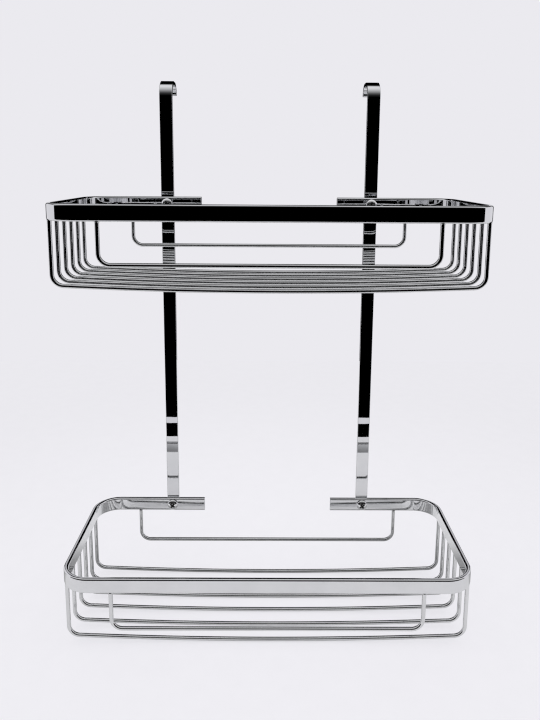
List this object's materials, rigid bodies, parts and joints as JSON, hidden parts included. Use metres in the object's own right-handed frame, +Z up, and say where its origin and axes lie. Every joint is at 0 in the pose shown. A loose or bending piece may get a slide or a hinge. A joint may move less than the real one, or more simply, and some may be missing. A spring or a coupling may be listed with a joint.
{
  "type": "shower caddy",
  "caption": "Hanging shower caddy: stacked open wire baskets with flat-bar rims, screwed to flat uprights whose tops hook over a shower panel.",
  "frame": {"origin": "centre of the outline's footprint, at the height of the surface that the lower basket's floor wires stand on", "axes": "+X to the right, +Y towards the panel that the hooks go over, +Z up along the uprights"},
  "size_m": [0.3, 0.155, 0.4185],
  "materials": {
    "upright_chrome": "polished chrome plate",
    "rim_chrome": "polished chrome plate",
    "wire_chrome": "polished chrome plate",
    "screw_chrome": "polished chrome plate",
    "nut_steel": "bright zinc plate"
  },
  "bodies": {
    "root": {"left_upright": "upright_chrome", "right_upright": "upright_chrome", "upper_rim": "rim_chrome", "lower_rim": "rim_chrome", "basket_screws": "screw_chrome", "basket_nuts": "nut_steel", "upper_floor_wire_1": "wire_chrome", "upper_floor_wire_2": "wire_chrome", "upper_floor_wire_3": "wire_chrome", "upper_floor_wire_4": "wire_chrome", "upper_floor_wire_5": "wire_chrome", "upper_floor_wire_6": "wire_chrome", "lower_floor_wire_1": "wire_chrome", "lower_floor_wire_2": "wire_chrome", "lower_floor_wire_3": "wire_chrome", "lower_floor_wire_4": "wire_chrome", "lower_floor_wire_5": "wire_chrome", "lower_floor_wire_6": "wire_chrome", "upper_front_guard": "wire_chrome", "upper_back_guard": "wire_chrome", "lower_front_guard": "wire_chrome", "lower_back_guard": "wire_chrome"}
  },
  "joints": []
}
